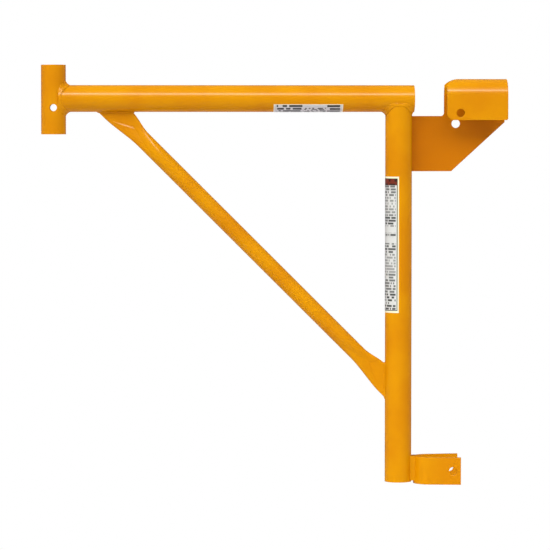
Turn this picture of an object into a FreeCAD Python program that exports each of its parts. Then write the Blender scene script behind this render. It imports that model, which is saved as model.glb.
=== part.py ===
"""Scaffold board bracket: a welded steel side bracket that carries two boards beside a scaffold frame.

Frame: X runs along the board arm towards the scaffold frame, Y from the front to the back, Z up. The origin is
the middle of the hook, on the axis of the frame's header tube that the hook hangs on. All lengths are in
millimetres and all angles in degrees.
"""

import FreeCAD, Part
import functools
import math
import os

from FreeCAD import Vector

# Tube stock: outside diameters and walls
tube_diameter = 41.275
tube_wall = 2.41
stub_diameter = 38.1
stub_wall = 2.1
brace_diameter = 25.4
brace_wall = 2.1

# Flat stock, bent cold over the header and round the frame's leg
strip_thickness = 4.76
frame_clearance = 0.35
cut_margin = 1.0

# Where the tubes' axes lie: the post from the hook, the rest from the post and from the arm
post_to_hook = 120.1
post_to_stub = 532.9
post_to_leg = 49.5
header_above_arm = 4.5

# Cut lengths of the tubes, from the axes where they cross
arm_past_post = 23.7
post_below_arm = 594.7
stub_above_arm = 51.8
stub_below_arm = 55.0
stub_hole_diameter = 11.1
stub_hole_below_arm = 14.0

# Copes: how far the blunt sides of a coped end stay from the axis of the tube they sit on
arm_cope_flank = 8.0
post_cope_flank = 8.4

# Brace: its foot's distance from the arm along the post, the lean, and the pressed ends
brace_drop = 458.3
brace_angle = 45.0
pressed_reach = 36.0
pressed_swell = 52.0
pressed_gap = 0.3
pressed_flat_share = 0.83

# Hook plate, measured from the header's axis, and sideways from the middle of the hook
hook_width = 94.4
hook_front_drop = 37.7
hook_front_corner = 10.0
hook_outer_corner = 3.0
hook_relief_depth = 19.5
hook_relief_corner = 6.0
hook_hole_diameter = 12.7
hook_hole_left = 26.4
hook_hole_drop = 26.8
plate_drop = 117.2
plate_past_post = 6.0
plate_notch_drop = 31.3
plate_notch_corner = 5.0
plate_slope_left = 36.1
plate_slope_drop = 41.0
plate_corner = 1.5
plate_hole_diameter = 13.5
plate_hole_left = 29.0
plate_hole_drop = 43.2

# Leg saddle at the post's foot
saddle_height = 42.3
saddle_below_foot = 2.7
saddle_reach = 45.8
saddle_flare = 6.0
saddle_hole_diameter = 12.7
saddle_hole_inset = 12.1

# Weld beads
tube_bead_leg = 5.0
tube_bead_corner = 2.0
tube_bead_flank = 1.0
tube_bead_reach = 32.0
brace_bead = 5.5
brace_bead_short = 2.0
plate_bead = 4.2
plate_bead_inset = 3.0
saddle_bead_half_width = 9.0
saddle_bead_crown = 1.0
saddle_bead_inset = 2.0

# Labels, wrapped round their tubes; the angles start at the front and run down the arm and to the post's left
label_thickness = 0.2
arm_label_length = 107.0
arm_label_from_post = 87.3
arm_label_angle = 25.5
arm_label_width = 28.0
post_label_length = 210.7
post_label_below_arm = 120.3
post_label_angle = 3.0
post_label_width = 50.0

# Places and radii worked out from the driving dimensions
tube_r = tube_diameter / 2
stub_r = stub_diameter / 2
brace_r = brace_diameter / 2
bend_inner = tube_r + frame_clearance
bend_outer = bend_inner + strip_thickness
post_x = -post_to_hook
stub_x = post_x - post_to_stub
leg_x = post_x + post_to_leg
arm_z = -header_above_arm
foot_z = arm_z - post_below_arm
saddle_z = foot_z - saddle_below_foot
hook_left = -hook_width / 2
hook_right = hook_width / 2
along_x = Vector(1, 0, 0)
along_y = Vector(0, 1, 0)
along_z = Vector(0, 0, 1)


def rod(radius, start, direction, length):
    """Solid round bar from a point along a direction."""
    return Part.makeCylinder(radius, length, start, direction)


def rounded_outline(corners, place):
    """Closed wire through corners (u, v, radius), each rounded by its radius; place turns (u, v) into a point."""
    starts, ends, middles = [], [], []
    for i, (u, v, radius) in enumerate(corners):
        here = Vector(u, v, 0)
        before = Vector(*corners[i - 1][:2], 0) - here
        after = Vector(*corners[(i + 1) % len(corners)][:2], 0) - here
        before.normalize()
        after.normalize()
        half_turn = before.getAngle(after) / 2
        reach = radius / math.tan(half_turn)
        inward = before + after
        inward.normalize()
        starts.append(here + before * reach)
        ends.append(here + after * reach)
        middles.append(here + inward * (radius / math.sin(half_turn) - radius))
    edges = []
    for i, (u, v, radius) in enumerate(corners):
        if radius > 0:
            edges.append(Part.Arc(*(place(p.x, p.y) for p in (starts[i], middles[i], ends[i]))).toShape())
        following = starts[(i + 1) % len(corners)]
        edges.append(Part.makeLine(place(ends[i].x, ends[i].y), place(following.x, following.y)))
    return Part.Wire(edges)


def prism(corners, place, depth):
    """Solid with a rounded outline, pushed along the vector depth."""
    return Part.Face(rounded_outline(corners, place)).extrude(depth)


def bent_strip(inner, outer, wrap, leg_a, leg_b, place):
    """Face of flat bar bent round a circle: an arc over the angles in wrap, with a straight leg at each end."""
    def at(radius, angle, run):
        turn = math.radians(angle)
        side = 1 if angle == wrap[1] else -1
        return place(radius * math.cos(turn) - side * run * math.sin(turn),
                     radius * math.sin(turn) + side * run * math.cos(turn))
    middle = sum(wrap) / 2
    edges = []
    for radius in (outer, inner):
        edges.append(Part.makeLine(at(radius, wrap[0], leg_a), at(radius, wrap[0], 0)))
        edges.append(Part.Arc(at(radius, wrap[0], 0), at(radius, middle, 0), at(radius, wrap[1], 0)).toShape())
        edges.append(Part.makeLine(at(radius, wrap[1], 0), at(radius, wrap[1], leg_b)))
    for angle, leg in ((wrap[0], leg_a), (wrap[1], leg_b)):
        edges.append(Part.makeLine(at(inner, angle, leg), at(outer, angle, leg)))
    return Part.Face(Part.Wire(Part.__sortEdges__(edges)))


@functools.cache
def stub_envelope():
    """Outside of the guardrail stub, as if it were a solid bar."""
    start = Vector(stub_x, 0, arm_z - stub_below_arm)
    return rod(stub_r, start, along_z, stub_above_arm + stub_below_arm)


@functools.cache
def arm_envelope():
    """Outside of the arm: square at the frame's end, coped round the stub with its flanks cut blunt."""
    start = Vector(stub_x + arm_cope_flank, 0, arm_z)
    length = post_x + arm_past_post - start.x
    return rod(tube_r, start, along_x, length).cut(stub_envelope())


@functools.cache
def post_envelope():
    """Outside of the post: square at the foot, coped under the arm with its flanks cut blunt."""
    length = post_below_arm - post_cope_flank
    return rod(tube_r, Vector(post_x, 0, foot_z), along_z, length).cut(arm_envelope())


def guardrail_stub():
    """Upright socket at the arm's outer end, with a hole through both walls for the rail post's pin."""
    start = Vector(stub_x, 0, arm_z - stub_below_arm)
    bore = rod(stub_r - stub_wall, start, along_z, stub_above_arm + stub_below_arm)
    hole_start = Vector(stub_x, -stub_r, arm_z - stub_hole_below_arm)
    hole = rod(stub_hole_diameter / 2, hole_start, along_y, stub_diameter)
    return stub_envelope().cut(bore).cut(hole)


def arm_tube():
    """Level tube that the boards lie on."""
    start = Vector(stub_x, 0, arm_z)
    return arm_envelope().cut(rod(tube_r - tube_wall, start, along_x, post_x + arm_past_post - stub_x))


def post_tube():
    """Upright tube beside the frame's leg."""
    start = Vector(post_x, 0, foot_z)
    return post_envelope().cut(rod(tube_r - tube_wall, start, along_z, post_below_arm))


def brace_axis():
    """Where the brace's axis crosses the arm's, its direction down to the post, and its length."""
    angle = math.radians(brace_angle)
    direction = Vector(math.sin(angle), 0, -math.cos(angle))
    start = Vector(post_x - brace_drop * math.tan(angle), 0, arm_z)
    return start, direction, brace_drop / math.cos(angle)


def pressed_section(centre, across, roundness, inset):
    """Section of the brace as four tangent arcs, from pressed flat (roundness 0) to round (1).

    The length round the section stays that of the round tube, so it grows wider as it gets thinner.
    """
    round_r = brace_r - inset
    flat_r = brace_wall + pressed_gap / 2 - inset
    half_sweep = math.pi / 2 * pressed_flat_share * roundness
    tip_r = flat_r + (round_r - flat_r) * roundness
    face_length = math.pi / 2 * round_r - tip_r * (math.pi / 2 - half_sweep)

    def at(u, v):
        return centre + across * u + along_y * v
    if half_sweep > 0:
        face_r = face_length / half_sweep
        tip_centre = (face_r - tip_r) * math.sin(half_sweep)
        face_centre = (face_r - tip_r) * math.cos(half_sweep)
        corner = (face_r * math.sin(half_sweep), tip_r * math.cos(half_sweep))
        faces = [Part.Arc(at(-side * corner[0], side * corner[1]), at(0, side * (face_r - face_centre)),
                          at(side * corner[0], side * corner[1])).toShape() for side in (1, -1)]
    else:
        tip_centre = face_length
        corner = (face_length, tip_r)
        faces = [Part.makeLine(at(-side * corner[0], side * corner[1]),
                               at(side * corner[0], side * corner[1])) for side in (1, -1)]
    tips = [Part.Arc(at(side * corner[0], side * corner[1]), at(side * (tip_centre + tip_r), 0),
                     at(side * corner[0], -side * corner[1])).toShape() for side in (1, -1)]
    return Part.Wire([faces[0], tips[0], faces[1], tips[1]])


@functools.cache
def brace_body(inset):
    """Brace from axis to axis: flat ends, swelling to a round run between them."""
    start, direction, length = brace_axis()
    across = direction.cross(along_y)
    steps = 6
    pieces = []
    round_ends = []
    for origin, inward in ((start, direction), (start + direction * length, direction * -1)):
        sections = []
        for i in range(steps + 1):
            share = i / steps
            centre = origin + inward * (pressed_reach + pressed_swell * share)
            sections.append(pressed_section(centre, across, share * share * (3 - 2 * share), inset))
        pieces.append(Part.Face(sections[0]).extrude(inward * -pressed_reach))
        pieces.append(Part.makeLoft(sections, True, True))
        round_ends.append(sections[-1])
    run = length - 2 * (pressed_reach + pressed_swell)
    pieces.append(Part.Face(round_ends[0]).extrude(direction * run))
    return pieces[0].multiFuse(pieces[1:]).removeSplitter()


@functools.cache
def brace_envelope():
    """Outside of the brace, its flat ends cut to sit on the arm and the post."""
    return brace_body(0).cut(arm_envelope()).cut(post_envelope())


def brace_tube():
    """Diagonal tube, pressed flat at both ends with its two walls almost closed on each other."""
    return brace_envelope().cut(brace_body(brace_wall))


@functools.cache
def hook_plate():
    """One plate: a gusset behind the post that rises beside the leg and bends forward over the header."""
    def side(y, z):
        return Vector(post_x - plate_past_post, y, z)
    width = hook_right - post_x + plate_past_post
    section = bent_strip(bend_inner, bend_outer, (0, 180), plate_drop, hook_front_drop, side)
    blank = section.extrude(along_x * width)
    above = bend_outer + cut_margin
    back_corners = [
        (post_x - plate_past_post, -plate_drop, plate_corner),
        (-plate_slope_left, -plate_drop, plate_corner),
        (hook_right, -plate_slope_drop, plate_corner),
        (hook_right, above, 0),
        (hook_left, above, 0),
        (hook_left, -plate_notch_drop, plate_notch_corner),
        (post_x - plate_past_post, -plate_notch_drop, plate_corner),
    ]
    front_corners = [
        (hook_left, -hook_front_drop, hook_front_corner),
        (hook_right, -hook_front_drop, hook_outer_corner),
        (hook_right, above, 0),
        (hook_left, above, 0),
    ]
    back = prism(back_corners, lambda x, z: Vector(x, 0, z), along_y * above)
    front = prism(front_corners, lambda x, z: Vector(x, 0, z), along_y * -above)
    plate = blank.common(back.fuse(front))
    relief_corners = [
        (hook_left - cut_margin, -hook_relief_depth - cut_margin, 0),
        (hook_left + hook_relief_depth, 0, hook_relief_corner),
        (hook_left - cut_margin, hook_relief_depth + cut_margin, 0),
    ]
    relief = prism(relief_corners, lambda x, y: Vector(x, y, 0), along_z * above)
    front_hole = rod(hook_hole_diameter / 2, Vector(-hook_hole_left, -above, -hook_hole_drop), along_y, above)
    back_hole = rod(plate_hole_diameter / 2, Vector(-plate_hole_left, 0, -plate_hole_drop), along_y, above)
    return plate.cut(relief).cut(front_hole).cut(back_hole)


@functools.cache
def leg_saddle():
    """Flat bar bent to a U that bears on the frame's leg, with a cross hole for a keeper pin near the tips."""
    def plan(x, y):
        return Vector(leg_x + x, y, saddle_z)
    lean = math.radians(saddle_flare)
    leg = (saddle_reach + bend_outer * math.sin(lean)) / math.cos(lean)
    wrap = (90 + saddle_flare, 270 - saddle_flare)
    body = bent_strip(bend_inner, bend_outer, wrap, leg, leg, plan).extrude(along_z * saddle_height)
    hole_start = Vector(leg_x + saddle_reach - saddle_hole_inset, -2 * bend_outer, saddle_z + saddle_height / 2)
    return body.cut(rod(saddle_hole_diameter / 2, hole_start, along_y, 4 * bend_outer))


def seam_bead(grown_main, grown_branch, main, branch):
    """Bead at a coped seam: what both tubes share once grown by the bead's leg, its outer corner taken off."""
    bead = grown_main.common(grown_branch).cut(main).cut(branch)
    walls = (grown_main.Faces[0], grown_branch.Faces[0])
    corner = []
    for edge in bead.Edges:
        middle = Part.Vertex(edge.valueAt((edge.FirstParameter + edge.LastParameter) / 2))
        if all(middle.distToShape(wall)[0] < Part.Precision.confusion() for wall in walls):
            corner.append(edge)
    return bead.makeChamfer(tube_bead_corner, corner)


def weld_stub_arm():
    """Bead round the arm's coped end on the stub."""
    below = Vector(stub_x, 0, arm_z - tube_bead_reach)
    around_stub = rod(stub_r + tube_bead_leg, below, along_z, 2 * tube_bead_reach)
    toe = Vector(stub_x + arm_cope_flank - tube_bead_flank, 0, arm_z)
    around_arm = rod(tube_r + tube_bead_leg, toe, along_x, tube_bead_reach)
    return seam_bead(around_stub, around_arm, stub_envelope(), arm_envelope())


def weld_arm_post():
    """Bead round the post's coped top under the arm."""
    outward = Vector(post_x - tube_bead_reach, 0, arm_z)
    around_arm = rod(tube_r + tube_bead_leg, outward, along_x, 2 * tube_bead_reach)
    toe = Vector(post_x, 0, arm_z - post_cope_flank + tube_bead_flank)
    around_post = rod(tube_r + tube_bead_leg, toe, along_z * -1, tube_bead_reach)
    return seam_bead(around_arm, around_post, arm_envelope(), post_envelope())


def brace_end_bead(point, direction, lean):
    """Bead along both sides of a pressed brace end, on the line where it meets a tube."""
    flat_r = brace_wall + pressed_gap / 2
    half = (flat_r + (brace_r - flat_r) * math.pi / 2) / math.cos(math.radians(lean)) - brace_bead_short
    return rod(brace_bead, point - direction * half, direction, 2 * half)


def weld_brace_arm():
    """Bead where the brace's upper end meets the arm's underside."""
    start, direction, length = brace_axis()
    meet = start + direction * (tube_r / -direction.z)
    bead = brace_end_bead(meet, along_x, brace_angle)
    return bead.cut(arm_envelope()).cut(brace_body(0))


def weld_brace_post():
    """Bead where the brace's lower end meets the post's outer side."""
    start, direction, length = brace_axis()
    meet = start + direction * (length - tube_r / direction.x)
    bead = brace_end_bead(meet, along_z, 90 - brace_angle)
    return bead.cut(post_envelope()).cut(brace_body(0))


def plate_bead_bar(x, y):
    """Upright bead between the post's back and the hook plate, short of the plate's ends."""
    bottom = -plate_drop + plate_bead_inset
    length = plate_drop - plate_notch_drop - 2 * plate_bead_inset
    return rod(plate_bead, Vector(x, y, bottom), along_z, length).cut(post_envelope()).cut(hook_plate())


def weld_plate_left():
    """Bead along the plate's hidden upright edge, on the post's back."""
    return plate_bead_bar(post_x - plate_past_post, bend_inner)


def weld_plate_right():
    """Bead in the groove where the post's back curves away from the plate."""
    return plate_bead_bar(post_x + 2 * plate_bead, bend_inner)


def weld_saddle_post():
    """Bead that bridges the gap between the post's foot and the back of the saddle."""
    half = saddle_bead_half_width
    crown = half + saddle_bead_crown
    corners = [
        Vector(post_x, -half, foot_z + saddle_bead_inset),
        Vector(leg_x, -half, foot_z + saddle_bead_inset),
        Vector(leg_x, half, foot_z + saddle_bead_inset),
        Vector(post_x, half, foot_z + saddle_bead_inset),
    ]
    middle = (tube_r + post_to_leg - bend_outer) / 2
    front = Part.Arc(corners[0], Vector(post_x + middle, -crown, corners[0].z), corners[1]).toShape()
    back = Part.Arc(corners[2], Vector(post_x + middle, crown, corners[0].z), corners[3]).toShape()
    sides = [Part.makeLine(corners[1], corners[2]), Part.makeLine(corners[3], corners[0])]
    face = Part.Face(Part.Wire([front, sides[0], back, sides[1]]))
    bar = face.extrude(along_z * (saddle_height - 2 * saddle_bead_inset))
    inside = rod(bend_inner, Vector(leg_x, 0, foot_z), along_z, saddle_height)
    return bar.cut(post_envelope()).cut(leg_saddle()).cut(inside)


def wrapped_label(radius, start, width, place, depth):
    """Thin label on a tube: its section spans an arc of the given width from a start angle."""
    first = math.radians(start)
    last = first + width / radius
    middle = (first + last) / 2

    def at(r, angle):
        return place(r * math.sin(angle), r * math.cos(angle))
    outer = radius + label_thickness
    edges = [
        Part.Arc(at(radius, first), at(radius, middle), at(radius, last)).toShape(),
        Part.makeLine(at(radius, last), at(outer, last)),
        Part.Arc(at(outer, last), at(outer, middle), at(outer, first)).toShape(),
        Part.makeLine(at(outer, first), at(radius, first)),
    ]
    return Part.Face(Part.Wire(edges)).extrude(depth)


def arm_label():
    """Label along the arm's lower front."""
    x = post_x - arm_label_from_post
    place = lambda across, out: Vector(x, -out, arm_z - across)
    return wrapped_label(tube_r, arm_label_angle, arm_label_width, place, along_x * -arm_label_length)


def post_label():
    """Tall label on the post's left front."""
    z = arm_z - post_label_below_arm
    place = lambda across, out: Vector(post_x - across, -out, z)
    return wrapped_label(tube_r, post_label_angle, post_label_width, place, along_z * -post_label_length)


pieces = [
    arm_tube, post_tube, brace_tube, guardrail_stub, hook_plate, leg_saddle,
    weld_stub_arm, weld_arm_post, weld_brace_arm, weld_brace_post,
    weld_plate_left, weld_plate_right, weld_saddle_post,
    arm_label, post_label,
]

os.makedirs("parts", exist_ok=True)
for piece in pieces:
    shape = piece()
    name = piece.__name__
    shape.exportStep(f"parts/{name}.step")
    box = shape.BoundBox
    print(f"{name}: {box.XLength:.1f} x {box.YLength:.1f} x {box.ZLength:.1f} mm,",
          f"{shape.Volume / 1000:.2f} cm3, {len(shape.Solids)} solid, valid {shape.isValid()}")
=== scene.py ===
# %% [markdown]
# # The looks of a scaffold board bracket
#
# A scaffold board bracket is a welded steel frame that hangs on the side of a scaffold. Two boards lie on its
# level arm, a rail post stands in the socket at the arm's outer end, and a hook and a saddle hold the whole
# thing on the scaffold's own tubes. The real one is sprayed in a thick, glossy yellow-orange enamel.
#
# The shapes and sizes come from the CAD model, which is loaded as a fixed frame. This lesson gives it its
# finish: the paint, the dented ends of the brace, the rippled weld beads, the two labels, and a plain studio
# round it. All lengths are in metres, X runs along the arm towards the scaffold, Y to the back and Z up.

import math

import bmesh
import bpy
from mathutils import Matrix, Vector, noise


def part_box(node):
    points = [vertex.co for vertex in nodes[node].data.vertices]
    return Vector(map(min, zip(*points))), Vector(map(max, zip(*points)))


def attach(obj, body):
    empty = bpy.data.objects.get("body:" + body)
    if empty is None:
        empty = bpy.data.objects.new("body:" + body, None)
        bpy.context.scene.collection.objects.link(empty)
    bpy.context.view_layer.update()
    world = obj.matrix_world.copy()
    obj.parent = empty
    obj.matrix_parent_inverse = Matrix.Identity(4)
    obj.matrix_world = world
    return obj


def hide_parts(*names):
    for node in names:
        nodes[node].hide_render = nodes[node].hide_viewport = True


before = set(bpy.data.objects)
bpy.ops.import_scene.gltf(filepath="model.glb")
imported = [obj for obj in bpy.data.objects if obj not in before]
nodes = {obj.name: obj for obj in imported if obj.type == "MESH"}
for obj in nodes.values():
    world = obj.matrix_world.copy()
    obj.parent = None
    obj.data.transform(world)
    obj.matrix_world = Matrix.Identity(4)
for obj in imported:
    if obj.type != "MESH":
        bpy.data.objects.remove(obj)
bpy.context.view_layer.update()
print("CAD nodes:", ", ".join(sorted(nodes)))

# %% [markdown]
# ## Where the tubes lie
#
# The dressed pieces have to meet the CAD tubes exactly, so the axes and radii of the arm, the post and the
# stub are read from the boxes of their CAD nodes. The brace lies at a slant and its box doesn't give its
# radius, so its own sizes are typed further down, where it is drawn.

# %% Tube axes
arm_low, arm_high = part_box("arm_tube")
post_low, post_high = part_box("post_tube")
stub_low, stub_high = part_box("guardrail_stub")
arm_z = (arm_low.z + arm_high.z) / 2
post_x = (post_low.x + post_high.x) / 2
stub_x = (stub_low.x + stub_high.x) / 2
tube_r = (arm_high.y - arm_low.y) / 2
stub_r = (stub_high.y - stub_low.y) / 2
print(f"arm at z {arm_z:.4f}, post at x {post_x:.4f}, stub at x {stub_x:.4f}")
print(f"radius of arm and post {tube_r:.4f}, of the stub {stub_r:.4f}")

# %% [markdown]
# ## A small language for shaders
#
# Every finish here is worked out from the point on the surface, without any picture. Blender does such sums
# with little nodes, one for each plus or times. The class below wraps a node's output so that the sums can be
# written as plain arithmetic, and one method of it makes any other kind of node.


# %% Shader sums
class Wire:
    """The output of a shader node. Arithmetic on it adds Math nodes to the same tree."""

    def __init__(self, socket):
        self.socket = socket
        self.tree = socket.id_data

    def node(self, kind, settings, inputs, output=0):
        """Any node: its type, its settings, then its inputs, each of them a value or a wire."""
        made = self.tree.nodes.new(kind)
        for name, value in settings.items():
            setattr(made, name, value)
        for name, value in inputs.items():
            if isinstance(value, Wire):
                self.tree.links.new(value.socket, made.inputs[name])
            else:
                made.inputs[name].default_value = value
        return Wire(made.outputs[output])

    def math(self, operation, *values):
        """A Math node with these values or wires as its inputs."""
        return self.node("ShaderNodeMath", {"operation": operation}, dict(enumerate(values)))

    def __add__(self, other):
        return self.math("ADD", self, other)

    def __sub__(self, other):
        return self.math("SUBTRACT", self, other)

    def __rsub__(self, other):
        return self.math("SUBTRACT", other, self)

    def __mul__(self, other):
        return self.math("MULTIPLY", self, other)

    def __truediv__(self, other):
        return self.math("DIVIDE", self, other)

    __radd__, __rmul__ = __add__, __mul__

    def ramp(self, start, end):
        """0 before start and 1 after end, with a smooth step between them."""
        return self.node("ShaderNodeMapRange", {"interpolation_type": "SMOOTHSTEP"},
                         {"Value": self, "From Min": start, "From Max": end})

    def between(self, start, end, edge):
        """1 from start to end and 0 outside, with soft edges."""
        return self.ramp(start - edge, start) * (1 - self.ramp(end, end + edge))

    def mix(self, first, second):
        """A colour that turns from first to second as this wire goes from 0 to 1."""
        return self.node("ShaderNodeMix", {"data_type": "RGBA"}, {0: self, 6: first, 7: second}, output=2)

    def part(self, axis):
        """One of x, y and z of a vector."""
        return self.node("ShaderNodeSeparateXYZ", {}, {0: self}, output=axis)

    def noise(self, scale, detail):
        """Smooth random values round 0.5, with about scale lumps to a metre."""
        return self.node("ShaderNodeTexNoise", {}, {"Vector": self, "Scale": scale, "Detail": detail})

    def chance(self):
        """A random number from 0 to 1 that stays the same wherever this wire has the same value."""
        return self.node("ShaderNodeTexWhiteNoise", {"noise_dimensions": "1D"}, {"W": self})


def new_material(name):
    """An empty material, its shader node, and the point on the surface in metres."""
    material = bpy.data.materials.new(name)
    material.use_nodes = True
    shader = material.node_tree.nodes["Principled BSDF"]
    place = material.node_tree.nodes.new("ShaderNodeTexCoord")
    return material, shader, Wire(place.outputs["Object"])


def feed(shader, name, wire):
    """Joins a wire to one input of the shader."""
    wire.tree.links.new(wire.socket, shader.inputs[name])


# %% [markdown]
# ## The enamel
#
# The paint is a thick solvent enamel: it levels out almost like glass, but keeps a faint orange peel, and it
# is a little deeper in colour where it has run together. Most of what the eye takes for its colour is light
# that has been inside the paint, so the clear shine on top is kept weak. On the flat plate under the hook the
# colour is painted darker and redder: this is painted shade, standing in for the hook's shadow and the light
# bounced between hook and plate. The plate is found by its height and by lying far enough back. A bevel node
# rounds the light at the cut edges of the two bent strips, where surface tension has drawn the paint over the
# corner.

# %% Enamel
paint_light = (0.67, 0.25, 0.001, 1)
paint_deep = (0.62, 0.205, 0.001, 1)
# painted shade: the darker, redder colour given to the plate under the hook
plate_shade_colour = (0.56, 0.155, 0.001, 1)
mottle_scale, mottle_from, mottle_to = 14.0, 0.35, 0.7
gloss_scale, roughness_low, roughness_spread = 45.0, 0.16, 0.1
peel_scale = 260.0
tube_peel, weld_peel = 0.00003, 0.00015
clear_shine = 0.08
edge_radius = 0.0012
plate_low, plate_high, plate_fade = -0.13, 0.0, 0.015
plate_front, plate_inside = 0.0207, 0.0209


def enamel(name, peel_depth, rounded_edges):
    """Glossy yellow-orange enamel with a mottle in its colour, orange peel and, if asked, soft edges."""
    material, shader, place = new_material(name)
    mottle = place.noise(mottle_scale, detail=4.0).ramp(mottle_from, mottle_to)
    # painted shade: this mask darkens and reddens the plate behind the tubes, under the hook
    at_height = place.part(2).between(plate_low, plate_high, plate_fade)
    painted_plate_shade = at_height * place.part(1).ramp(plate_front, plate_inside)
    feed(shader, "Base Color", painted_plate_shade.mix(mottle.mix(paint_light, paint_deep), plate_shade_colour))
    feed(shader, "Roughness", place.noise(gloss_scale, detail=3.0) * roughness_spread + roughness_low)
    peel = {"Height": place.noise(peel_scale, detail=1.0), "Distance": peel_depth}
    if rounded_edges:
        peel["Normal"] = place.node("ShaderNodeBevel", {"samples": 8}, {"Radius": edge_radius})
    feed(shader, "Normal", place.node("ShaderNodeBump", {}, peel))
    shader.inputs["Specular IOR Level"].default_value = clear_shine
    return material


tube_paint = enamel("enamel_tube", tube_peel, rounded_edges=False)
strip_paint = enamel("enamel_strip", tube_peel, rounded_edges=True)
weld_paint = enamel("enamel_weld", weld_peel, rounded_edges=False)
print("paints:", tube_paint.name, strip_paint.name, weld_paint.name)

# %% [markdown]
# Every CAD node but the labels gets its paint here. The beads have a paint of their own, as their rough skin
# shows through the coat.

# %% Paint on the CAD nodes
for name, node in nodes.items():
    node.data.materials.clear()
    if name.startswith("weld"):
        node.data.materials.append(weld_paint)
    elif not name.endswith("label"):
        node.data.materials.append(strip_paint if name in ("hook_plate", "leg_saddle") else tube_paint)
print("painted", sum(1 for node in nodes.values() if node.data.materials), "nodes")

# %% [markdown]
# ## Meshes from rings
#
# The brace and the weld beads are both drawn as a row of rings, each ring a list of points, with a skin of
# four-sided faces between neighbours. One function does that for all of them, gives the piece its paint and
# lets it stand for the plain CAD node.


# %% Ring skins
def skin(name, rings, closed, material, node):
    """A smooth skin over rings of points, in place of a CAD node. closed joins the last ring to the first."""
    count = len(rings[0])
    points = [point for ring in rings for point in ring]
    faces = []
    for i in range(len(rings) if closed else len(rings) - 1):
        here, following = i * count, (i + 1) % len(rings) * count
        for j in range(count):
            k = (j + 1) % count
            faces.append((here + j, here + k, following + k, following + j))
    if not closed:
        faces.append(tuple(range(count)))
        faces.append(tuple(range(len(points) - 1, len(points) - count - 1, -1)))
    mesh = bpy.data.meshes.new(name)
    mesh.from_pydata(points, [], faces)
    outward = bmesh.new()
    outward.from_mesh(mesh)
    bmesh.ops.recalc_face_normals(outward, faces=outward.faces)
    outward.to_mesh(mesh)
    outward.free()
    mesh.shade_smooth()
    mesh.materials.append(material)
    piece = bpy.data.objects.new(name, mesh)
    bpy.context.scene.collection.objects.link(piece)
    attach(piece, "root")
    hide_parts(node)
    print(f"{name}: {len(rings)} rings of {count} points, {len(mesh.polygons)} faces")


# %% [markdown]
# ## The pressed ends of the brace
#
# The brace is a round tube whose ends were crushed flat in a press before welding. The die was not square to
# the tube: it left a dent with a straight lower lip, nearly level, that catches the light, and a short steep
# side. Outside the dent the tube opens out again to its round shape. Both ends were pressed alike, so one end
# is described, by the distance s from the crossing of the axes and the distance u across, and then mirrored.
#
# The brace lies at 45 degrees, so it meets the post as far below the arm as it meets the arm away from the
# post. Its flat part is wider than the tube, and the lower edge starts to narrow sooner than the upper.

# %% Sizes of the brace
brace_r = 0.0127
brace_drop = 0.4583
brace_length = brace_drop * math.sqrt(2)
brace_start = Vector((post_x - brace_drop, 0, arm_z))
down = Vector((1, 0, -1)).normalized()
across = Vector((1, 0, 1)).normalized()

flat_half = 0.00225
flat_width = 0.0188
flat_edge_sharpness = 2.4
lower_edge_narrows = (0.022, 0.092)
upper_edge_narrows = (0.048, 0.088)
print(f"brace {brace_length * 1000:.0f} mm between the axes, flat part {flat_width * 2000:.1f} mm wide")

# %% [markdown]
# The dent is bounded by two straight lines in s and u, the lip and the side. How far the tube has opened at a
# point follows from how far the point lies beyond them: a small ledge at the lip, then a long slow swell.

# %% Outline of the dent
lip_from, lip_to = Vector((0.032, -0.0149)), Vector((0.0669, 0.0032))
side_to = Vector((0.0525, 0.0231))
lip_along = (lip_to - lip_from).normalized()
lip_out = Vector((lip_along.y, -lip_along.x))
side_along = (side_to - lip_to).normalized()
side_out = Vector((side_along.y, -side_along.x))
ledge_from, ledge_length = -0.0004, 0.0022
ledge_share = 0.064
swell_from, swell_to = -0.004, 0.050
print(f"lip {(lip_to - lip_from).length * 1000:.1f} mm, side {(side_to - lip_to).length * 1000:.1f} mm")


def smooth(value, start, end):
    """0 before start and 1 after end, with a smooth step between them."""
    share = min(max((value - start) / (end - start), 0.0), 1.0)
    return share * share * (3 - 2 * share)


def opened_share(s, u):
    """How far the tube has opened at a point: 0 in the dent and 1 where it is round again."""
    here = Vector((s, u))
    beyond = max((here - lip_from).dot(lip_out), (here - lip_to).dot(side_out))
    ledge = min(max((beyond - ledge_from) / ledge_length, 0.0), 1.0)
    return ledge_share * ledge + (1 - ledge_share) * smooth(beyond, swell_from, swell_to)


# %% [markdown]
# The end is cut to sit on the round tube it is welded to, so its rings start on that tube and are skewed. The
# cut depends on the width and the thickness there, and they on the place, so they are worked out in turns.

# %% A point on the brace
cut_turns = 3


def brace_point(t, turn):
    """A point on the brace's skin: t runs from 0 at the arm to 1 at the post, turn goes round the tube."""
    cosine, sine = math.cos(turn), math.sin(turn)
    half = brace_length / 2
    reach = abs(2 * t - 1)
    u, v = 0.0, 0.0
    for _ in range(cut_turns):
        cut = u + math.sqrt(2 * max(tube_r ** 2 - v ** 2, 0))
        s = half - reach * (half - cut)
        lower = flat_width + (brace_r - flat_width) * smooth(s, *lower_edge_narrows)
        upper = flat_width + (brace_r - flat_width) * smooth(s, *upper_edge_narrows)
        u = cosine * (lower + (upper - lower) * (cosine + 1) / 2)
        opened = opened_share(s, u)
        flat = flat_half * math.sqrt(min(1.0, abs(sine) * flat_edge_sharpness))
        v = math.copysign((1 - opened) * flat + opened * brace_r * abs(sine), sine)
    along = s if t < 0.5 else brace_length - s
    return brace_start + down * along + across * u + Vector((0, v, 0))


# %% [markdown]
# Most of the rings are spent on the two ends, where the lip has to stay crisp. The middle is a plain tube.

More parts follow.
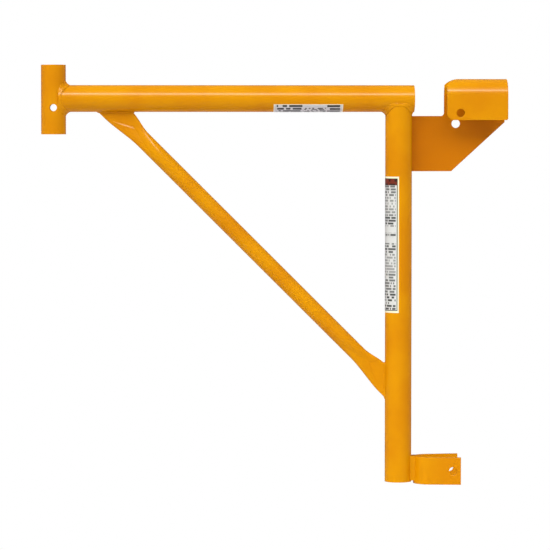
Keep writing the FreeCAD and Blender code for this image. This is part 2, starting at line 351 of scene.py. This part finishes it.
# %% Brace
ring_points = 96
end_share, end_rings, middle_rings = 0.15, 190, 40
near_end = [end_share * i / end_rings for i in range(end_rings)]
between_ends = [end_share + (1 - 2 * end_share) * i / middle_rings for i in range(middle_rings + 1)]
rings = [[brace_point(t, 2 * math.pi * j / ring_points) for j in range(ring_points)]
         for t in near_end + between_ends + [1 - t for t in reversed(near_end)]]
skin("brace_skin", rings, False, tube_paint, "brace_tube")

# %% [markdown]
# ## Weld beads
#
# The joints were welded by hand with a wire gun. The pool freezes in steps as the gun moves on, which leaves
# a row of curved ripples like overlapping coins, and the enamel over them keeps them soft. Each bead is a row
# of sections along its seam: two toes, one on each piece, and between them a curve that rises and falls with
# the ripples. The crown says how far that curve stands above the straight line from toe to toe; where it is
# negative the bead is hollow. Four beads are drawn like this, and those of the hook plate and the saddle keep
# their CAD shapes.

# %% A bead from its seam
section_points = 9
root_depth = 0.0006
ripple_pitch = 0.0034
ripple_depth = 0.0004
ripple_bow = 0.45
ripple_wander, wander_scale = 0.25, 90
uneven_share, uneven_scale, uneven_shift = 0.12, 160, Vector((3, 1, 2))
full_ripple_width = 0.004


def bead(name, seam, node):
    """A bead along a closed seam: a list of (root, toe on the first piece, toe on the second, crown)."""
    travelled = 0.0
    rings = []
    for i, (root, first, second, crown) in enumerate(seam):
        travelled += (root - seam[i - 1][0]).length if i else 0.0
        outward = ((first + second) / 2 - root).normalized()
        depth = ripple_depth * min(1.0, (first - second).length / full_ripple_width)
        wander = ripple_wander * noise.noise(root * wander_scale)
        height = crown * (1 + uneven_share * noise.noise(root * uneven_scale + uneven_shift))
        ring = [root - outward * root_depth]
        for j in range(section_points):
            share = j / (section_points - 1)
            lift = 4 * share * (1 - share)
            ripple = abs(math.sin(math.pi * (travelled / ripple_pitch + ripple_bow * lift + wander))) - 0.5
            ring.append(first.lerp(second, share) + outward * (height + depth * ripple) * lift)
        rings.append(ring)
    skin(name, rings, True, weld_paint, node)


# %% [markdown]
# Where a tube is coped onto another, the seam runs round it like a saddle. On the flanks the two skins meet
# at a flat angle and the bead is a narrow strip; a quarter turn away they meet squarely, and the bead is a
# wide hollow fillet. The seam is worked out with the main tube along x and the branch standing on it along z,
# and every point is then put in its place on the bracket.

# %% Seams of the coped tubes
coped_points = 288
fillet_fade = 1.5
flank_crown, fillet_crown = 0.0003, -0.0011


def coped_seam(branch_r, main_r, flank, legs, place):
    """Seam of a branch on a main tube. flank is how high it runs at the flanks, legs how wide the bead is."""
    fillet_leg, main_flank_leg, branch_flank_leg = legs
    seam = []
    for i in range(coped_points):
        turn = 2 * math.pi * i / coped_points
        c, s = math.cos(turn), math.sin(turn)
        out = math.sqrt(flank ** 2 + (main_r ** 2 - flank ** 2) * c ** 4)
        y = math.copysign(math.sqrt(max(main_r ** 2 - out ** 2, 0)), s)
        on_main, on_branch = Vector((branch_r * c, y, out)), Vector((branch_r * c, branch_r * s, out))
        from_main, from_branch = Vector((0, y, out)) / main_r, Vector((c, s, 0))
        along_main = (from_branch - from_main * from_branch.dot(from_main)).normalized()
        along_branch = (from_main - from_branch * from_branch.dot(from_main)).normalized()
        share = abs(c) ** fillet_fade
        first = on_main + along_main * (main_flank_leg + (fillet_leg - main_flank_leg) * share)
        back_to_skin = main_r / math.hypot(first.y, first.z)
        first.y *= back_to_skin
        first.z *= back_to_skin
        second = on_branch + along_branch * (branch_flank_leg + (fillet_leg - branch_flank_leg) * share)
        crown = flank_crown + (fillet_crown - flank_crown) * share
        seam.append([place(point) for point in ((on_main + on_branch) / 2, first, second)] + [crown])
    return seam


def on_stub(point):
    """The stub stands upright, and the arm comes out of its side."""
    return Vector((stub_x + point.z, point.y, arm_z + point.x))


def under_arm(point):
    """The post hangs under the arm; its bead stops at the arm's cut end."""
    return Vector((min(post_x + point.x, arm_high.x), point.y, arm_z - point.z))


stub_seam = coped_seam(tube_r, stub_r, flank=0.008, legs=(0.0065, 0.0008, 0.0045), place=on_stub)
post_seam = coped_seam(tube_r, tube_r, flank=0.0084, legs=(0.006, 0.0008, 0.004), place=under_arm)
bead("bead_stub_arm", stub_seam, "weld_stub_arm")
bead("bead_arm_post", post_seam, "weld_arm_post")

# %% [markdown]
# The flat ends of the brace are welded all round with a thin bead. Its root follows the outline of the flat
# part, one toe lies on the tube it sits on, and the other climbs the brace. On the two flat faces the lower
# toe heads nearly straight out from the face, and at the round edges it turns with them.

# %% Seams of the brace
brace_seam_points = 240
brace_leg = 0.0026
brace_crown = 0.0002
face_from, face_lean = 0.4, 0.15


def brace_seam(place):
    """Seam round the flat end of the brace where it sits on a tube; place maps (s, u, v) into a point."""
    seam = []
    for i in range(brace_seam_points):
        turn = 2 * math.pi * i / brace_seam_points
        cosine, sine = math.cos(turn), math.sin(turn)
        v = math.copysign(flat_half * math.sqrt(min(1.0, abs(sine) * flat_edge_sharpness)), sine)
        u = flat_width * cosine
        slant = math.sqrt((tube_r ** 2 - v ** 2) / 2)
        tube_normal = Vector((slant, -slant, v)) / tube_r
        side = Vector((0, cosine * face_lean if abs(sine) > face_from else cosine, sine)).normalized()
        along_tube = (side - tube_normal * side.dot(tube_normal)).normalized()
        root = Vector((u + 2 * slant, u, v))
        up_the_brace = Vector((1, 0, 0))
        points = (root, root + along_tube * brace_leg, root + up_the_brace * brace_leg)
        seam.append([place(point) for point in points] + [brace_crown])
    return seam


def at_arm(point):
    """The brace's upper end, counted from the arm."""
    return brace_start + down * point.x + across * point.y + Vector((0, point.z, 0))


def at_post(point):
    """The brace's lower end, counted back from the post."""
    return brace_start + down * (brace_length - point.x) + across * point.y + Vector((0, point.z, 0))


bead("bead_brace_arm", brace_seam(at_arm), "weld_brace_arm")
bead("bead_brace_post", brace_seam(at_post), "weld_brace_post")

# %% [markdown]
# ## The labels
#
# Two printed vinyl stickers wrap round the tubes. They are kept generic, with a red head and with grey bars
# for the lines of print. The bars come from a small lottery: the sticker is cut into rows and cells, and a
# cell is printed if its number comes up. The same cell always draws the same number.

# %% Printed vinyl
ink = (0.045, 0.042, 0.046, 1)
paper = (0.62, 0.575, 0.62, 1)
frame_line = (0.035, 0.03, 0.03, 1)
border = (0.86, 0.76, 0.60, 1)
head_red = (0.16, 0.018, 0.007, 1)
head_dark = (0.03, 0.006, 0.004, 1)
vinyl_roughness, vinyl_shine = 0.35, 0.25
row_shift, row_seed = 0.37, 57.0
bar_top, bar_foot, bar_fade = 0.2, 0.75, 0.15


def sticker(name, lay_out):
    """Printed vinyl; lay_out turns the point on the surface into the sticker's colour."""
    material, shader, place = new_material(name)
    feed(shader, "Base Color", lay_out(place))
    shader.inputs["Roughness"].default_value = vinyl_roughness
    shader.inputs["Specular IOR Level"].default_value = vinyl_shine
    nodes[name].data.materials.append(material)
    print(f"{name}: {len(material.node_tree.nodes)} shader nodes")


def round_the_tube(sideways, forward, start_degrees):
    """Distance along the tube's skin from the sticker's edge, which starts so many degrees from the front."""
    return sideways.math("ARCTAN2", sideways, forward) * tube_r - math.radians(start_degrees) * tube_r


def print_bars(down_page, across_page, row_height, cell_width, likely):
    """1 where a bar of print is: rows cut into cells, of which the likely share is printed."""
    rows = down_page / row_height
    row = rows.math("FLOOR", rows)
    column = across_page / cell_width + row * row_shift
    cell = column.math("FLOOR", column)
    number = (cell + row * row_seed).chance()
    drawn = number.math("LESS_THAN", number, likely)
    return drawn * (rows - row).between(bar_top, bar_foot, edge=bar_fade)


def page_area(across_page, down_page, sides, heights, edge):
    """1 on a rectangle of the page and 0 outside it, with soft edges."""
    return across_page.between(*sides, edge) * down_page.between(*heights, edge)


# %% [markdown]
# The tall label on the post has a red head with dark marks, then block after block of small print, some
# bolder than others, with two quiet gaps. A thin dark line and a cream border run round it all.

# %% Post label
post_label_low, post_label_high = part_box("post_label")
page_width = 0.050
page_height = post_label_high.z - post_label_low.z
border_side, border_end = 0.0021, 0.0030
line_side, line_top, line_foot = 0.0034, 0.0038, 0.0042
line_edge = 0.0003
head_from, head_to = 0.0132, 0.0137
print_left, print_right, print_edge = 0.0052, 0.046, 0.0006
block_height = 0.030
first_gap, second_gap, gap_edge = (0.078, 0.086), (0.094, 0.102), 0.002
faintest = 0.55


def post_sticker(place):
    """Red head, grey bars of print, a thin dark line and a cream border."""
    across_page = round_the_tube(place.part(0) * -1 + post_x, place.part(1) * -1, start_degrees=3)
    down_page = place.part(2) * -1 + post_label_high.z
    inside = page_area(across_page, down_page, (border_side, page_width - border_side),
                       (border_end, page_height - border_end), line_edge)
    framed = page_area(across_page, down_page, (line_side, page_width - line_side),
                       (line_top, page_height - line_foot), line_edge)
    bars = print_bars(down_page, across_page, row_height=0.0044, cell_width=0.0021, likely=0.72)
    block = down_page / block_height
    boldness = block.math("FLOOR", block).chance() * (1 - faintest) + faintest
    quiet = down_page.between(*first_gap, gap_edge) + down_page.between(*second_gap, gap_edge)
    printed = bars * (1 - quiet) * boldness * across_page.between(print_left, print_right, print_edge)
    head = 1 - down_page.ramp(head_from, head_to)
    marks = print_bars(down_page, across_page, row_height=0.0095, cell_width=0.0035, likely=0.5)
    colour = head.mix(printed.mix(paper, ink), marks.mix(head_red, head_dark))
    return inside.mix(border, framed.mix(frame_line, colour))


sticker("post_label", post_sticker)

# %% [markdown]
# The small label on the arm has large print at its left, fine print in its middle and a dark block at its
# right, inside a cream border.

# %% Arm label
arm_label_low, arm_label_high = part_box("arm_label")
label_length = arm_label_high.x - arm_label_low.x
cream_side, cream_top, cream_foot, cream_edge = 0.0018, 0.0014, 0.0266, 0.0008
large_print, fine_print, dark_block = (0.005, 0.044), (0.046, 0.080), (0.083, 0.102)
fine_from, fine_to = 0.0058, 0.0064
column_edge = 0.001


def arm_sticker(place):
    """Bars of print in three columns on pale grey, with a cream border."""
    down_page = round_the_tube(place.part(2) * -1 + arm_z, place.part(1) * -1, start_degrees=25.5)
    across_page = place.part(0) - arm_label_low.x
    inside = page_area(across_page, down_page, (cream_side, label_length - cream_side),
                       (cream_top, cream_foot), cream_edge)
    large = print_bars(down_page, across_page, row_height=0.0058, cell_width=0.0034, likely=0.7)
    large = large * across_page.between(*large_print, column_edge)
    fine = print_bars(down_page, across_page, row_height=0.0031, cell_width=0.0028, likely=0.6)
    fine = fine * down_page.ramp(fine_from, fine_to) * across_page.between(*fine_print, column_edge)
    dark = print_bars(down_page, across_page, row_height=0.0062, cell_width=0.0042, likely=0.85)
    dark = dark * across_page.between(*dark_block, column_edge)
    printed = large + fine + dark
    return inside.mix(border, printed.math("MINIMUM", printed, 1.0).mix(paper, ink))


sticker("arm_label", arm_sticker)

# %% [markdown]
# ## The studio
#
# The photo shows the bracket against pure white, lit from the front and above by a long soft light, which
# draws one thin bright line along each level tube. The world does both jobs: the camera sees it white, and
# the bracket sees a dim room with that light in it, a wide strip given by its height and direction in the
# sky. Behind the bracket the room is kept dark, so that the tubes' edges don't glow.

# %% World
world = bpy.data.worlds.new("studio")
bpy.context.scene.world = world
world.use_nodes = True
background = world.node_tree.nodes["Background"]
direction = Wire(world.node_tree.nodes.new("ShaderNodeTexCoord").outputs["Generated"])
white = (1, 1, 1, 1)
room_light = 0.55
back_light, back_from, back_to = 0.1, 0.6, 0.85
strip_light = 4.3
strip_tint = (0.97, 1.12, 0.9, 1)
strip_elevation, strip_half_height, strip_height_fade = math.radians(41), math.radians(12), 0.12
strip_azimuth, strip_half_length, strip_length_fade = math.radians(-22), math.radians(48), 0.2

to_right, to_back, to_top = direction.part(0), direction.part(1), direction.part(2)
elevation = to_top.math("ARCSINE", to_top)
azimuth = to_right.math("ARCTAN2", to_right, to_back * -1)
strip_low, strip_high = strip_elevation - strip_half_height, strip_elevation + strip_half_height
strip_left, strip_right = strip_azimuth - strip_half_length, strip_azimuth + strip_half_length
strip = elevation.between(strip_low, strip_high, strip_height_fade)
strip = strip * azimuth.between(strip_left, strip_right, strip_length_fade)
behind = to_back.ramp(back_from, back_to)
glow = strip * strip_light + (behind * (back_light - room_light) + room_light)
seen = Wire(world.node_tree.nodes.new("ShaderNodeLightPath").outputs["Is Camera Ray"])
feed(background, "Strength", seen * (1 - glow) + glow)
feed(background, "Color", (strip * (1 - seen)).mix(white, strip_tint))
bpy.context.scene.view_settings.view_transform = "Standard"
print("world:", len(world.node_tree.nodes), "nodes")

# %% [markdown]
# A long thin lamp along the middle of the strip gives the paint its sharp glint and nothing else: the camera
# doesn't see it, and it adds no soft light.


# %% Lamp
def toward(azimuth_angle, elevation_angle):
    """The direction at these angles, seen from the bracket. Azimuth 0 is the front and positive the right."""
    level = math.cos(elevation_angle)
    to_side, to_front = math.sin(azimuth_angle) * level, math.cos(azimuth_angle) * level
    return Vector((to_side, -to_front, math.sin(elevation_angle)))


lamp_distance = 8.0
lamp_radiance = 150.0
lamp_data = bpy.data.lights.new("softbox", "AREA")
lamp_data.shape = "RECTANGLE"
lamp_data.size, lamp_data.size_y = 9.0, 0.4
lamp_data.energy = math.pi * lamp_radiance * lamp_data.size * lamp_data.size_y
lamp = bpy.data.objects.new("softbox", lamp_data)
bpy.context.scene.collection.objects.link(lamp)
toward_lamp = toward(strip_azimuth, strip_elevation)
lamp.location = toward_lamp * lamp_distance
lamp.rotation_euler = toward_lamp.to_track_quat("Z", "Y").to_euler()
lamp.visible_camera = False
lamp.visible_diffuse = False
print(f"lamp {lamp_data.size} m by {lamp_data.size_y} m, {lamp_data.energy:.0f} W")

# %% [markdown]
# A pale floor lies below the picture and throws some light back up.

# %% Floor
floor_depth = 1.4
floor_half = 2.5
floor_colour, floor_roughness = (0.8, 0.75, 0.83, 1), 0.8
corners = [(x * floor_half, y * floor_half, -floor_depth) for x, y in ((-1, -1), (1, -1), (1, 1), (-1, 1))]
floor_mesh = bpy.data.meshes.new("floor")
floor_mesh.from_pydata(corners, [], [(0, 1, 2, 3)])
floor = bpy.data.objects.new("floor", floor_mesh)
bpy.context.scene.collection.objects.link(floor)
floor_material, floor_shader, _ = new_material("floor")
floor_shader.inputs["Base Color"].default_value = floor_colour
floor_shader.inputs["Roughness"].default_value = floor_roughness
floor_mesh.materials.append(floor_material)
print(f"floor {floor_half * 2} m square, {floor_depth} m down")

# %% [markdown]
# ## The camera
#
# The photo was taken from far away with a long lens: the stub's two rims look flat, and the depth shows only
# in small shifts between the front and the back of the hook and the saddle. From those shifts the camera
# stands a little left of the middle and a little above it.

# %% Camera
picture_width, focal_pixels = 550, 3000
sensor_width = 36
camera_distance = 4.647
camera_azimuth = math.radians(-2.7)
camera_elevation = math.radians(3.0)
aim = Vector((-0.3117, 0.0, -0.2773))
camera_data = bpy.data.cameras.new("camera")
camera = bpy.data.objects.new("camera", camera_data)
bpy.context.scene.collection.objects.link(camera)
bpy.context.scene.camera = camera
camera_data.sensor_width = sensor_width
camera_data.lens = sensor_width * focal_pixels / picture_width
back = toward(camera_azimuth, camera_elevation)
camera.location = aim + back * camera_distance
camera.rotation_euler = (-back).to_track_quat("-Z", "Y").to_euler()
print(f"lens {camera_data.lens:.1f} mm from {camera_distance} m")
